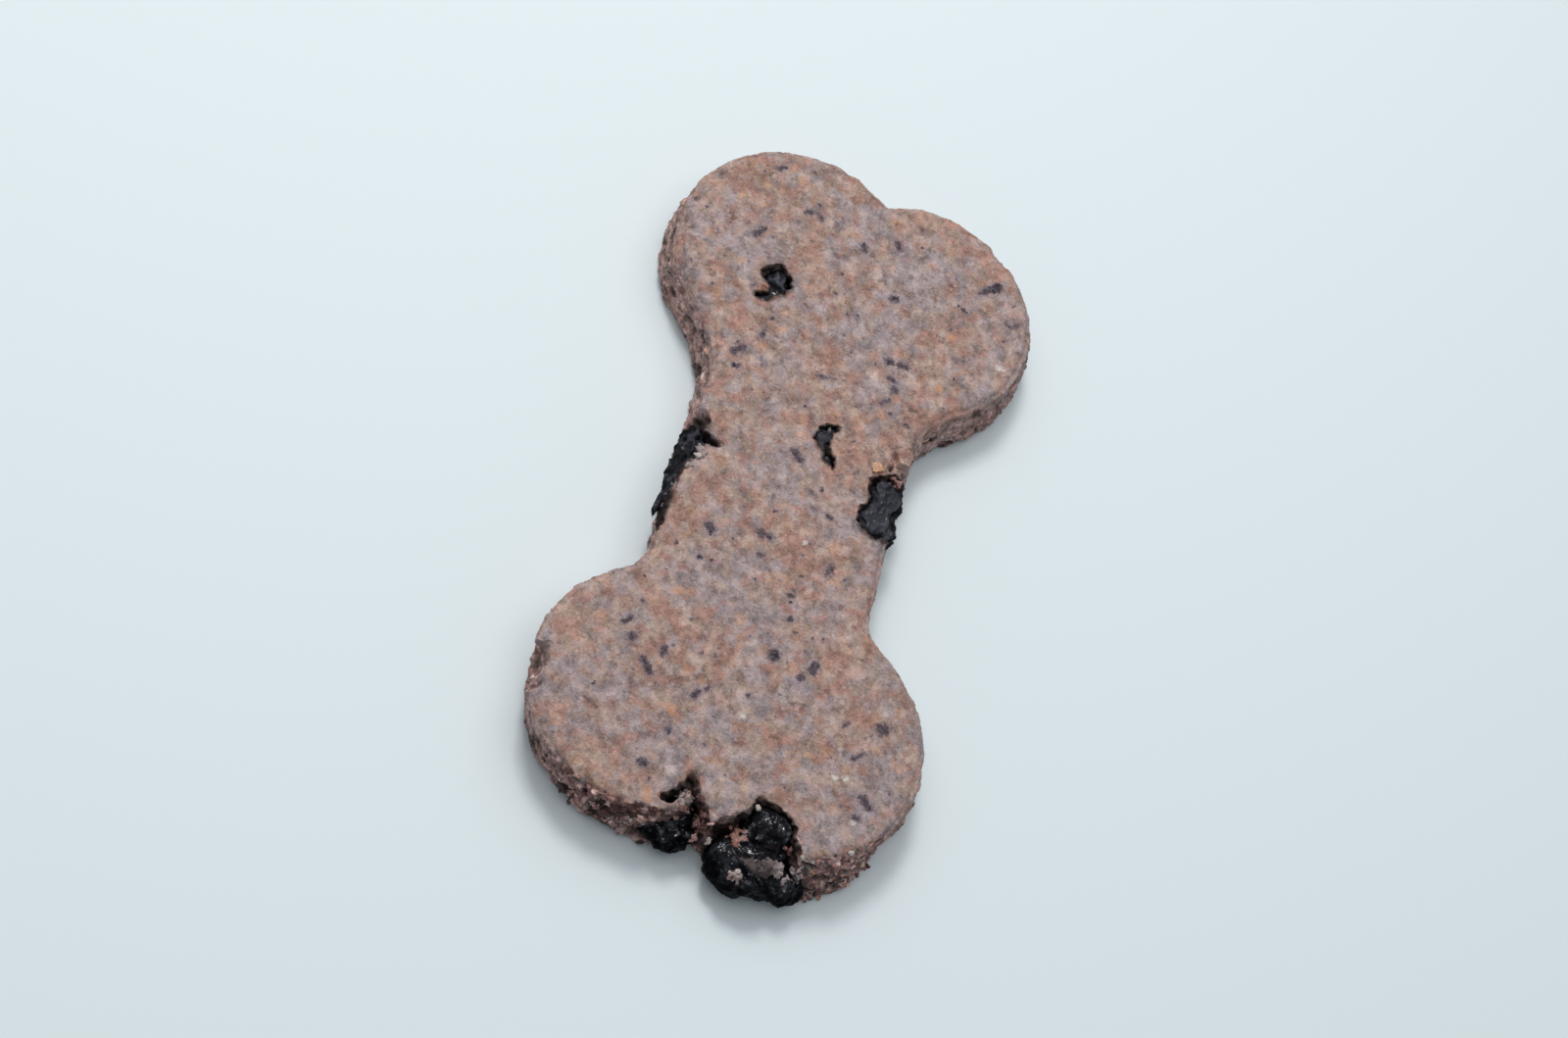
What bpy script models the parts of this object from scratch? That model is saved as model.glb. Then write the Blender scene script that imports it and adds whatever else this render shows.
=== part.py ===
"""A bone-shaped dog biscuit with dried berries baked into its dough.

The biscuit lies flat. X runs across it, Y along it and Z up. The origin is under the middle of
its box, on the surface that it lies on. The dough is one solid, and so is each berry.
"""

import math
import random

import bmesh
import bpy
from mathutils import Matrix, Vector, noise
from mathutils.geometry import delaunay_2d_cdt

MM = 0.001

# Driving dimensions of the bone, seen from above
KNOBS = {
    "upper_right": (Vector((7.7, 27.2)) * MM, 13.2 * MM),
    "upper_left": (Vector((-6.9, 27.7)) * MM, 13.6 * MM),
    "lower_left": (Vector((-7.9, -27.2)) * MM, 13.1 * MM),
    "lower_right": (Vector((7.5, -26.4)) * MM, 13.5 * MM),
}
SHOULDER_RADII = {
    "upper_right": 10.0 * MM,
    "upper_left": 12.0 * MM,
    "lower_left": 5.0 * MM,
    "lower_right": 4.0 * MM,
}
SHAFT_RIGHT = 11.4 * MM
SHAFT_LEFT = -12.1 * MM
NOTCH_RADIUS = 1.0 * MM
ARC_STEP = 0.25 * MM
ARC_LEAST_STEPS = 6

# The wall: how far it stands out from the top's outline at each height
THICKNESS = 6.8 * MM
WALL_PROFILE = (
    (0.00 * MM, 0.55 * MM),
    (0.40 * MM, 0.90 * MM),
    (1.50 * MM, 0.95 * MM),
    (2.70 * MM, 0.80 * MM),
    (3.90 * MM, 0.55 * MM),
    (5.10 * MM, 0.30 * MM),
    (6.20 * MM, 0.10 * MM),
    (6.60 * MM, -0.30 * MM),
    (6.80 * MM, -1.00 * MM),
)
FLARE_CHANGE = 0.5
WALL_STEP = 1.45 * MM

# The wall leans where the dough was dragged: how far its foot is off the top's outline
FOOT_SHIFT = {
    "upper_right": Vector((0.0, 0.0)) * MM,
    "upper_left": Vector((0.6, -0.3)) * MM,
    "lower_left": Vector((2.2, 0.2)) * MM,
    "lower_right": Vector((0.3, -1.4)) * MM,
}
FOOT_SHIFT_CHANGES = (-24.0 * MM, -6.0 * MM)

# Rough crumb on the wall: large crumbs, finer ones on them, and faint layers
CRUMB_DEPTH = 0.34 * MM
CRUMB_SIZE = 1.7 * MM
CRUMB_FLATNESS = 1.6
FINE_CRUMB_SHARE = 0.6
FINE_CRUMB_SCALE = 2.1
FINE_CRUMB_OFFSET = Vector((7.0, 3.0, 5.0))
LAYER_SHARE = 0.5
LAYER_STRETCH = Vector((1 / 7.0, 1 / 7.0, 2.2))

# Slow changes of the outline and the flare, each from its own slice of the noise
OUTLINE_WAVE = 0.30 * MM
OUTLINE_WAVE_SIZE = 9.0 * MM
OUTLINE_SLICE = 2.2
FLARE_SLICE = 5.6

# The top: nearly flat, with the slight waves of rolled dough
TOP_STEP = 3.2 * MM
TOP_WAVE = 0.10 * MM
TOP_WAVE_SIZE = 6.0 * MM
TOP_SLICE = 1.7
NET_SEED = 3
NET_JITTER = 0.2
NET_MARGIN = 0.6
NET_ROW = math.sqrt(3) / 2
KEEP_INSIDE_FACES = 1
SAME_POINT = 1e-9

# The berries' skins, and the gap that the dough keeps round them
BERRY_FACET = 0.66 * MM
BERRY_CEILING = THICKNESS - 0.20 * MM
BERRY_FLOOR = 0.08 * MM
LOBE_DETAIL = 3
WRINKLE_DEPTH = 0.28 * MM
WRINKLE_SIZE = 1.6 * MM
WRINKLE_SHARES = (0.7, 0.5, -0.35)
FINE_WRINKLE_SCALE = 2.3
GAP = 0.30 * MM

# Over a berry that reaches this height, the dough is cut open instead of left as a thin skin
SKIN_HEIGHT = THICKNESS - 0.55 * MM
SKIN_CUT = 1.20 * MM

# Each berry's lobes, in millimetres and degrees: centre, half sizes, heading of the first one
BERRIES = {
    "end_berry": (
        ((7.5, -37.2, 4.4), (3.1, 2.7, 2.3), 20),
        ((6.4, -40.7, 2.9), (4.4, 3.0, 2.7), -4),
        ((10.6, -41.0, 2.4), (2.3, 1.9, 2.1), 0),
    ),
    "wall_berry": (
        ((-2.0, -39.8, 2.8), (2.9, 1.9, 1.75), -4),
        ((-1.5, -37.5, 4.3), (1.7, 1.8, 1.7), 0),
    ),
    "right_waist_berry": (
        ((9.6, -0.3, 4.7), (2.6, 2.4, 2.3), 0),
        ((9.9, 3.2, 4.7), (2.1, 2.9, 2.3), 0),
    ),
    "left_waist_berry": (
        ((-11.5, 0.9, 4.4), (1.7, 2.7, 2.1), 0),
        ((-12.5, -3.1, 4.2), (1.0, 2.7, 1.4), 8),
        ((-13.1, -6.6, 4.7), (0.6, 2.3, 0.8), 0),
    ),
    "knob_berry": (
        ((-7.9, 23.6, 4.8), (1.9, 2.4, 1.4), 10),
        ((-9.5, 20.9, 5.1), (1.2, 0.75, 1.0), 10),
    ),
    "thin_berry": (
        ((1.5, 7.5, 5.0), (1.2, 1.7, 1.2), -10),
        ((2.4, 8.6, 5.2), (1.0, 0.65, 0.9), 15),
        ((2.7, 5.0, 5.2), (0.65, 2.0, 1.0), 30),
    ),
}

# Ragged holes in the top, over the berries and along the rim: outline in millimetres, and depth
PIT_TAPER = 0.86
CUT_ABOVE = THICKNESS + 1.0 * MM
PITS = {
    "end_pit": (
        ((1.6, -38.4), (3.4, -37.5), (4.8, -36.1), (5.4, -34.5), (7.1, -34.6), (8.2, -35.4),
         (9.3, -36.5), (10.5, -37.8), (11.3, -39.6), (11.4, -42.4), (7.0, -45.0), (1.8, -42.0)),
        4.2 * MM,
    ),
    "crack_pit": (
        ((-4.4, -37.9), (-3.6, -37.7), (-3.2, -36.9), (-2.7, -36.8), (-2.6, -36.1),
         (-2.1, -35.6), (-2.1, -34.8), (-1.5, -34.4), (-0.8, -35.2), (-0.4, -36.7),
         (0.1, -37.2), (0.9, -37.7), (1.6, -38.9), (0.3, -39.6), (-0.7, -38.3),
         (-0.9, -37.4), (-1.3, -36.3), (-1.8, -36.5), (-2.0, -37.3), (-2.6, -37.6),
         (-3.1, -38.4), (-3.8, -38.4)),
        2.0 * MM,
    ),
    "right_waist_pit": (
        ((8.5, 5.5), (7.4, 4.7), (7.5, 3.5), (7.8, 1.4), (7.0, 0.5), (7.3, -0.9), (7.8, -2.0),
         (8.8, -2.5), (10.9, -1.8), (13.5, -1.5), (13.5, 4.6), (10.1, 6.4), (9.1, 5.6)),
        1.3 * MM,
    ),
    "left_waist_pit": (
        ((-14.0, 2.8), (-12.8, 4.6), (-11.6, 3.3), (-10.3, 2.8), (-8.0, 1.9), (-10.2, 1.4),
         (-10.8, 0.4), (-11.1, -1.2), (-12.1, -2.4), (-12.0, -3.6), (-12.8, -5.9),
         (-13.0, -7.8), (-12.7, -9.2), (-13.2, -10.2), (-14.6, -9.6)),
        1.4 * MM,
    ),
    "knob_pit": (
        ((-10.4, 24.4), (-10.0, 25.1), (-8.1, 26.3), (-7.2, 25.1), (-6.1, 23.4), (-7.3, 22.1),
         (-8.2, 20.9), (-8.9, 20.3), (-9.9, 20.2), (-10.9, 20.9), (-10.0, 21.3), (-8.9, 21.7),
         (-9.0, 22.5), (-10.1, 23.6)),
        0.9 * MM,
    ),
    "thin_pit": (
        ((1.1, 8.9), (2.8, 9.3), (3.3, 8.8), (2.4, 8.2), (2.0, 7.4), (2.4, 6.4), (2.9, 5.3),
         (3.6, 4.1), (3.4, 3.3), (2.0, 4.3), (1.6, 5.5), (0.8, 6.0), (0.2, 6.6)),
        0.9 * MM,
    ),
    "shoulder_crack": (
        ((9.3, 8.6), (9.7, 8.5), (10.2, 7.5), (14.0, 8.0), (14.0, 7.2), (10.0, 6.8),
         (9.3, 6.0), (9.0, 6.2), (9.7, 7.2)),
        1.1 * MM,
    ),
    "side_chip": (
        ((-23.0, -26.4), (-20.1, -26.9), (-19.1, -26.7), (-18.7, -28.2), (-18.9, -30.1),
         (-18.4, -31.1), (-19.3, -32.3), (-23.0, -32.6)),
        2.2 * MM,
    ),
    "knob_nick": (
        ((13.6, 41.0), (14.2, 38.3), (15.0, 37.3), (15.6, 37.5), (16.1, 36.8), (19.0, 38.2)),
        1.5 * MM,
    ),
}

# Hollows under the broken rim: centre and half sizes in millimetres, heading in degrees
HOLLOW_DETAIL = 2
HOLLOW_WAVE = 0.30 * MM
HOLLOWS = {
    "side_hollow": ((-20.9, -28.9, 4.3), (2.0, 2.9, 2.0), 0),
    "shaft_tear": ((-12.2, 3.4, 6.2), (1.6, 1.9, 1.7), 0),
    "shoulder_crumble": ((11.7, 6.4, 6.3), (1.0, 0.9, 1.7), 0),
}

DOUGH_COLOUR = (0.33, 0.235, 0.215, 1.0)
DOUGH_ROUGHNESS = 0.85
BERRY_COLOUR = (0.03, 0.028, 0.034, 1.0)
BERRY_ROUGHNESS = 0.35


def clear_scene():
    """Start from an empty scene."""
    for item in list(bpy.data.objects):
        bpy.data.objects.remove(item, do_unlink=True)


def collection(name):
    """Add a collection to the scene."""
    made = bpy.data.collections.new(name)
    bpy.context.scene.collection.children.link(made)
    return made


def material(name, colour, roughness):
    """Make a plain surface of one colour."""
    made = bpy.data.materials.new(name)
    made.use_nodes = True
    shader = made.node_tree.nodes["Principled BSDF"]
    shader.inputs["Base Color"].default_value = colour
    shader.inputs["Roughness"].default_value = roughness
    shader.inputs["Metallic"].default_value = 0.0
    made.diffuse_color = colour
    return made


def link_mesh(bm, name, home, surface=None):
    """Turn a bmesh into an object in the home collection."""
    mesh = bpy.data.meshes.new(name)
    bm.to_mesh(mesh)
    bm.free()
    item = bpy.data.objects.new(name, mesh)
    if surface:
        mesh.materials.append(surface)
    home.objects.link(item)
    return item


def as_cutter(item):
    """Mark an object as a guide that isn't part of the biscuit."""
    item.hide_render = True
    item.display_type = "WIRE"


def touching_circle(first, second, radius, away):
    """Centre of the circle that touches two circles from outside, on the side of away."""
    (a, ra), (b, rb) = first, second
    span = (b - a).length
    along = ((ra + radius) ** 2 - (rb + radius) ** 2 + span ** 2) / (2 * span)
    across = math.sqrt((ra + radius) ** 2 - along ** 2)
    direction = (b - a) / span
    side = Vector((-direction.y, direction.x))
    if side.dot(away) < 0:
        side = -side
    return a + direction * along + side * across


def shoulder_centre(knob, shaft_x, radius):
    """Centre of the hollow curve that joins a knob to a side of the shaft."""
    centre, knob_radius = knob
    x = shaft_x + math.copysign(radius, shaft_x)
    reach = math.sqrt((knob_radius + radius) ** 2 - (x - centre.x) ** 2)
    return Vector((x, centre.y - math.copysign(reach, centre.y)))


def arc(centre, start, end, outward):
    """Points and normals from start to end; anticlockwise where outward is 1, else clockwise."""
    a = math.atan2(start.y - centre.y, start.x - centre.x)
    b = math.atan2(end.y - centre.y, end.x - centre.x)
    sweep = (b - a) * outward % math.tau * outward
    radius = (start - centre).length
    steps = max(ARC_LEAST_STEPS, int(abs(sweep) * radius / ARC_STEP))
    found = []
    for i in range(steps + 1):
        angle = a + sweep * i / steps
        spoke = Vector((math.cos(angle), math.sin(angle)))
        found.append((centre + spoke * radius, spoke * outward))
    return found


def bone_outline():
    """Points and outward normals of the bone, anticlockwise from the right side's middle."""
    notches = {
        "upper": touching_circle(KNOBS["upper_right"], KNOBS["upper_left"], NOTCH_RADIUS,
                                 Vector((0, 1))),
        "lower": touching_circle(KNOBS["lower_right"], KNOBS["lower_left"], NOTCH_RADIUS,
                                 Vector((0, -1))),
    }
    corners = (("upper_right", True), ("upper_left", False),
               ("lower_left", True), ("lower_right", False))
    found = []
    for name, from_shaft in corners:
        knob = centre, radius = KNOBS[name]
        shaft_x = SHAFT_RIGHT if "right" in name else SHAFT_LEFT
        shoulder = shoulder_centre(knob, shaft_x, SHOULDER_RADII[name])
        notch = notches["upper" if "upper" in name else "lower"]
        on_shaft = Vector((shaft_x, shoulder.y))
        by_shoulder = centre + (shoulder - centre).normalized() * radius
        by_notch = centre + (notch - centre).normalized() * radius
        if from_shaft:
            found += arc(shoulder, on_shaft, by_shoulder, -1)
            found += arc(centre, by_shoulder, by_notch, 1)
            other = KNOBS["upper_left" if name == "upper_right" else "lower_right"]
            far_side = other[0] + (notch - other[0]).normalized() * other[1]
            found += arc(notch, by_notch, far_side, -1)
        else:
            found += arc(centre, by_notch, by_shoulder, 1)
            found += arc(shoulder, by_shoulder, on_shaft, -1)
    return found


def evenly_spaced(outline, step):
    """The same closed outline with its points about one step apart."""
    closed = outline + outline[:1]
    lengths = [0.0]
    for (p, _), (q, _) in zip(closed, closed[1:]):
        lengths.append(lengths[-1] + (q - p).length)
    count = round(lengths[-1] / step)
    found = []
    place = 0
    for i in range(count):
        target = lengths[-1] * i / count
        while lengths[place + 1] <= target:
            place += 1
        share = (target - lengths[place]) / (lengths[place + 1] - lengths[place])
        (p, n), (q, m) = closed[place], closed[place + 1]
        found.append((p.lerp(q, share), n.lerp(m, share).normalized()))
    return found


def crumb_relief(place, z):
    """How far a crumb of the wall stands out: rough, and faintly layered."""
    spot = Vector((place.x, place.y, z)) / CRUMB_SIZE
    crumb = spot * Vector((1.0, 1.0, CRUMB_FLATNESS))
    fine = noise.noise(crumb * FINE_CRUMB_SCALE + FINE_CRUMB_OFFSET)
    layers = noise.noise(spot * LAYER_STRETCH)
    return CRUMB_DEPTH * (noise.noise(crumb) + FINE_CRUMB_SHARE * fine + LAYER_SHARE * layers)


def slow_wave(place, size, level):
    """Noise that changes slowly over the biscuit, from one level slice of it."""
    return noise.noise(Vector((place.x / size, place.y / size, level)))


def share_between(value, low, high):
    """0 at low, 1 at high, and no less or more beyond them."""
    return min(max((value - low) / (high - low), 0.0), 1.0)


def foot_shift(place):
    """How far the wall's foot is off to one side here. It changes below the waist."""
    across = share_between(place.x, KNOBS["lower_left"][0].x, KNOBS["lower_right"][0].x)
    along = share_between(place.y, *FOOT_SHIFT_CHANGES)
    lower = FOOT_SHIFT["lower_left"].lerp(FOOT_SHIFT["lower_right"], across)
    upper = FOOT_SHIFT["upper_left"].lerp(FOOT_SHIFT["upper_right"], across)
    return lower.lerp(upper, along)


def wall_ring(outline, z, out):
    """One level of the wall."""
    points = []
    for place, normal in outline:
        wave = OUTLINE_WAVE * slow_wave(place, OUTLINE_WAVE_SIZE, OUTLINE_SLICE)
        flare = out * (1 + FLARE_CHANGE * slow_wave(place, OUTLINE_WAVE_SIZE, FLARE_SLICE))
        spot = place + normal * (wave + flare + crumb_relief(place, z))
        spot += foot_shift(place) * (1 - z / THICKNESS)
        points.append(Vector((spot.x, spot.y, z)))
    return points


def inside(point, loop, margin):
    """Whether a point lies in the loop, at least a margin from its edge."""
    within = False
    for p, q in zip(loop, loop[1:] + loop[:1]):
        if (p.y > point.y) != (q.y > point.y):
            if point.x < p.x + (point.y - p.y) / (q.y - p.y) * (q.x - p.x):
                within = not within
        if (p - point).length < margin:
            return False
    return within


def top_wave(place):
    """Height of the rolled top above its mean."""
    return TOP_WAVE * slow_wave(place, TOP_WAVE_SIZE, TOP_SLICE)


def inner_net(loop):
    """Points spread over the inside of a loop, in uneven rows."""
    rng = random.Random(NET_SEED)
    reach = max(abs(value) for point in loop for value in point)
    rows = int(reach / TOP_STEP) + 1
    found = []
    for row in range(-rows, rows + 1):
        for column in range(-rows, rows + 1):
            x = column + 0.5 * (row % 2) + rng.uniform(-NET_JITTER, NET_JITTER)
            y = row * NET_ROW + rng.uniform(-NET_JITTER, NET_JITTER)
            point = Vector((x, y)) * TOP_STEP
            if inside(point, loop, NET_MARGIN * TOP_STEP):
                found.append(point)
    return found


def cap(bm, ring, inner, height):
    """Close one end of the wall, through inner points at the height that a function gives."""
    loop = [vert.co.to_2d() for vert in ring]
    edges = [(i, (i + 1) % len(loop)) for i in range(len(loop))]
    faces = delaunay_2d_cdt(loop + inner, edges, [], KEEP_INSIDE_FACES, SAME_POINT)[2]
    verts = list(ring)
    for point in inner:
        verts.append(bm.verts.new((point.x, point.y, height(point))))
    for face in faces:
        bm.faces.new([verts[i] for i in face])


def make_dough(home, surface):
    """The dough: a bone with a rough, slightly flared wall between two flat faces."""
    outline = evenly_spaced(bone_outline(), WALL_STEP)
    bm = bmesh.new()
    rings = []
    for z, out in WALL_PROFILE:
        rings.append([bm.verts.new(point) for point in wall_ring(outline, z, out)])
    for vert in rings[-1]:
        vert.co.z += top_wave(vert.co)
    for low, high in zip(rings, rings[1:]):
        for i in range(len(low)):
            j = (i + 1) % len(low)
            bm.faces.new((low[i], low[j], high[j], high[i]))
    top_net = inner_net([vert.co.to_2d() for vert in rings[-1]])
    cap(bm, rings[0], [], None)
    cap(bm, rings[-1], top_net, lambda place: THICKNESS + top_wave(place))
    bmesh.ops.triangulate(bm, faces=bm.faces)
    bmesh.ops.recalc_face_normals(bm, faces=bm.faces)
    return link_mesh(bm, "dough", home, surface)


def add_ball(bm, centre, half_sizes, heading, detail):
    """Add a stretched, turned ball."""
    turn = Matrix.Rotation(math.radians(heading), 4, "Z")
    stretch = Matrix.Diagonal([size * MM for size in half_sizes] + [1.0])
    place = Matrix.Translation(Vector(centre) * MM) @ turn @ stretch
    bmesh.ops.create_icosphere(bm, subdivisions=detail, radius=1.0, matrix=place)


def evaluated_mesh(item):
    """The mesh of an object with its modifiers applied."""
    view = item.evaluated_get(bpy.context.evaluated_depsgraph_get())
    return bpy.data.meshes.new_from_object(view)


def wrinkle(place):
    """How far a berry's dried skin stands out: sharp ridges between soft hollows."""
    spot = place / WRINKLE_SIZE
    fold = 1 - 2 * abs(noise.noise(spot))
    fold_share, fine_share, level = WRINKLE_SHARES
    fine = noise.noise(spot * FINE_WRINKLE_SCALE)
    return WRINKLE_DEPTH * (fold_share * fold + fine_share * fine + level)


def make_berry(name, lobes, home, surface):
    """A dried berry: its lobes merged into one skin, then wrinkled and pressed flat on top."""
    bm = bmesh.new()
    for centre, half_sizes, heading in lobes:
        add_ball(bm, centre, half_sizes, heading, LOBE_DETAIL)
    berry = link_mesh(bm, name, home, surface)
    merge = berry.modifiers.new("merge", "REMESH")
    merge.mode = "VOXEL"
    merge.voxel_size = BERRY_FACET
    mesh = evaluated_mesh(berry)
    berry.modifiers.remove(merge)
    berry.data = mesh
    mesh.name = name
    moved = [vert.co + vert.normal * wrinkle(vert.co) for vert in mesh.vertices]
    for vert, place in zip(mesh.vertices, moved):
        place.z = min(max(place.z, BERRY_FLOOR), BERRY_CEILING)
        vert.co = place
    mesh.update()
    return berry


def make_clearance(berry, home):
    """A cutter that leaves a thin gap round a berry."""
    cutter = bpy.data.objects.new(berry.name + "_room", berry.data.copy())
    home.objects.link(cutter)
    mesh = cutter.data
    moved = [vert.co + vert.normal * GAP for vert in mesh.vertices]
    for vert, place in zip(mesh.vertices, moved):
        if place.z > SKIN_HEIGHT:
            place.z += SKIN_CUT
        vert.co = place
    as_cutter(cutter)


def make_pit(name, outline, depth, home):
    """A cutter for a ragged hole that narrows downwards from the top."""
    bm = bmesh.new()
    middle = sum((Vector(point) for point in outline), Vector((0, 0))) / len(outline)
    levels = []
    for z, share in ((THICKNESS - depth, PIT_TAPER), (CUT_ABOVE, 1.0)):
        ring = []
        for point in outline:
            spot = middle.lerp(Vector(point), share) * MM
            ring.append(bm.verts.new((spot.x, spot.y, z)))
        levels.append(ring)
    low, high = levels
    for i in range(len(low)):
        j = (i + 1) % len(low)
        bm.faces.new((low[i], low[j], high[j], high[i]))
    bm.faces.new(reversed(low))
    bm.faces.new(high)
    bmesh.ops.triangulate(bm, faces=bm.faces)
    bmesh.ops.recalc_face_normals(bm, faces=bm.faces)
    as_cutter(link_mesh(bm, name, home))


def make_hollow(name, centre, half_sizes, heading, home):
    """A lumpy cutter for a hollow."""
    bm = bmesh.new()
    add_ball(bm, centre, half_sizes, heading, HOLLOW_DETAIL)
    bm.normal_update()
    for vert in bm.verts:
        vert.co += vert.normal * HOLLOW_WAVE * noise.noise(vert.co / CRUMB_SIZE)
    as_cutter(link_mesh(bm, name, home))


def bodies(bm):
    """The separate bodies of a mesh, each as a set of vertices."""
    left = set(bm.verts)
    found = []
    while left:
        edge = [left.pop()]
        body = set(edge)
        while edge:
            vert = edge.pop()
            near = {link.other_vert(vert) for link in vert.link_edges} - body
            body |= near
            edge += near
        left -= body
        found.append(body)
    return found


def doubled_faces(bm):
    """Faces that lie back to back on the same corners and hold nothing between them."""
    seen = {}
    for face in bm.faces:
        seen.setdefault(frozenset(face.verts), []).append(face)
    return [face for group in seen.values() if len(group) > 1 for face in group]


def cut(item, cutters):
    """Take all the cutters out of an object, and drop the scraps that they free."""
    boolean = item.modifiers.new("pits", "BOOLEAN")
    boolean.operation = "DIFFERENCE"
    boolean.operand_type = "COLLECTION"
    boolean.collection = cutters
    boolean.solver = "EXACT"
    mesh = evaluated_mesh(item)
    item.modifiers.remove(boolean)
    item.data = mesh
    bm = bmesh.new()
    bm.from_mesh(mesh)
    bmesh.ops.triangulate(bm, faces=bm.faces)
    bmesh.ops.delete(bm, geom=doubled_faces(bm), context="FACES")
    bare = [edge for edge in bm.edges if not edge.link_faces]
    bmesh.ops.delete(bm, geom=bare, context="EDGES")
    scraps = sorted(bodies(bm), key=len)[:-1]
    bmesh.ops.delete(bm, geom=[vert for scrap in scraps for vert in scrap], context="VERTS")
    bm.to_mesh(mesh)
    bm.free()


def centre_on_origin(groups):
    """Move every mesh so that the biscuit's box stands on the origin."""
    items = [item for group in groups for item in group.objects]
    kept = [vert.co for item in groups[0].objects for vert in item.data.vertices]
    middle = Vector((
        (min(co.x for co in kept) + max(co.x for co in kept)) / 2,
        (min(co.y for co in kept) + max(co.y for co in kept)) / 2,
        0.0,
    ))
    for item in items:
        item.data.transform(Matrix.Translation(-middle))


def main():
    clear_scene()
    biscuit = collection("dog_biscuit")
    cutters = collection("cutters")
    dough_surface = material("dough", DOUGH_COLOUR, DOUGH_ROUGHNESS)
    berry_surface = material("berry", BERRY_COLOUR, BERRY_ROUGHNESS)
    dough = make_dough(biscuit, dough_surface)
    for name, lobes in BERRIES.items():
        berry = make_berry(name, lobes, biscuit, berry_surface)
        make_clearance(berry, cutters)
    for name, (outline, depth) in PITS.items():
        make_pit(name, outline, depth, cutters)
    for name, (centre, half_sizes, heading) in HOLLOWS.items():
        make_hollow(name, centre, half_sizes, heading, cutters)
    cut(dough, cutters)
    centre_on_origin((biscuit, cutters))


main()
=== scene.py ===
"""The looks of a bone-shaped dog biscuit with dried berries baked into its dough.

Sizes are in millimetres here, and are turned into metres where a mesh is made. Small features
that the photograph shows are named by their pixels in it, and are set where the camera sees
them, on the surface that carries them.
"""

import bmesh
import bpy
import numpy as np
from mathutils import Matrix, Vector, noise
from mathutils.bvhtree import BVHTree


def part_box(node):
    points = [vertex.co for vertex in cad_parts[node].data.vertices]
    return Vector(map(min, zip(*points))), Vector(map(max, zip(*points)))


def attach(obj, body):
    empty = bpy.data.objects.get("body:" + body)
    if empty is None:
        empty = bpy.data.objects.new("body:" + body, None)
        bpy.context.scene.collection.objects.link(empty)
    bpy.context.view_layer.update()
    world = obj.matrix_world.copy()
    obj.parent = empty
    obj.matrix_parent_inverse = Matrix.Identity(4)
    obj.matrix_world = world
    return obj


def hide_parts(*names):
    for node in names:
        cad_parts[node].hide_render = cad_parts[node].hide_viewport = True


MM = 0.001
BODY = "root"

# Camera, from the middle of the box's foot: its place, its right and up directions, its sensor's
# width and, in metres, the nearest that it sees
CAMERA_PLACE = Vector((-39.64, -138.74, 244.1))
CAMERA_RIGHT = Vector((0.9239, 0.2464, 0.2928))
CAMERA_UP = Vector((-0.3554, 0.8361, 0.4180))
CAMERA_BACK = CAMERA_RIGHT.cross(CAMERA_UP)
SENSOR = 36.0
NEAREST_SEEN = 0.01

# The pixel of the photograph that the camera points at, how many pixels a ray's slope of 1 is
# worth, the photograph's width, and how many times closer this view looks
PHOTO_MIDDLE = (1022, 590)
PHOTO_REACH = 1800
PHOTO_WIDTH = 1600
CLOSER = 1.5
LENS = CLOSER * SENSOR * PHOTO_REACH / PHOTO_WIDTH

# Light: name, place and width in metres, power in watts, colour; then the room's even glow, and
# the floor's width in metres
LIGHTS = (
    ("window", (-0.13, 0.24, 0.43), 0.13, 1.05, (1.0, 0.99, 0.97)),
    ("ceiling", (-0.04, 0.13, 0.50), 0.85, 2.15, (1.0, 0.99, 0.975)),
)
ROOM_GLOW = 0.235
ROOM_COLOUR = (0.82, 0.92, 1.0, 1.0)
FLOOR_SIZE = 3.0

# Dough: its mean top, the highest that anything on it stands, its fine mesh's step, the rounds
# that even this out and the triangles that it is thinned to
DOUGH_TOP = 6.8
HIGHEST = DOUGH_TOP + 0.22
FINE_STEP = 0.17
EVEN_ROUNDS = 2
DOUGH_TRIANGLES = 195000

# Where the top and the underside are, by how far a face leans and by its height
TOP_LEAN = (0.70, 0.95)
TOP_BAND = (DOUGH_TOP - 0.9, DOUGH_TOP - 0.3)
UNDER_LEAN = (0.75, 0.95)
UNDER_HEIGHT = 0.6
UNDER_SOFT = 0.4

# The top's low waves and its grain, each a size and a height
TOP_WAVE = (1.3, 0.045)
TOP_GRAIN = (0.60, 0.030)

# How the top meets the wall: the rounds that spread the rim over its band, its height, how far it
# drops, how uneven that is where it is torn, and how far the wall rolls in under it
RIM_ROUNDS = 40
RIM_BAND = 1.2
RIM_DROP = 0.85
RIM_EVEN = 0.7
RIM_SWELL = 0.5
RIM_ROLL = 1.1
ROLL_SHARE = 0.6

# Where the wall's crumb begins under the top, evenly and where it is torn, and its share of the
# relief up there and where the wall is even
WALL_START = 0.2
WALL_FULL = 1.9
TORN_SOONER = 1.3
START_SHARE = 0.25
EVEN_SHARE = 0.52

# How far down the biscuit the torn end begins and is full, and how much sooner on the right
TORN_BAND = (34.0, 40.0)
TORN_SLANT = 0.2

# The wall's reliefs, each a size and a depth, and how each is stretched, edged and sunk
WALL_LUMP = (2.2, 0.26)
WALL_LAYER = (1.1, 0.09)
LAYER_STRETCH = (0.2, 0.2, 1.0)
WALL_GRAIN = (0.95, 0.36)
GRAIN_STRETCH = (1.0, 1.0, 1.5)
GRAIN_EDGE = 0.45
GRAIN_LEAST = 0.35
GRAIN_SINK = 0.65
WALL_GRIT = (0.45, 0.17)
GRIT_EDGE = 0.4
GRIT_SINK = 0.3
WALL_HOLE = (1.5, 0.45)
HOLE_STRETCH = (1.0, 1.0, 1.4)
HOLE_BAND = (0.16, 0.42)

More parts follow.
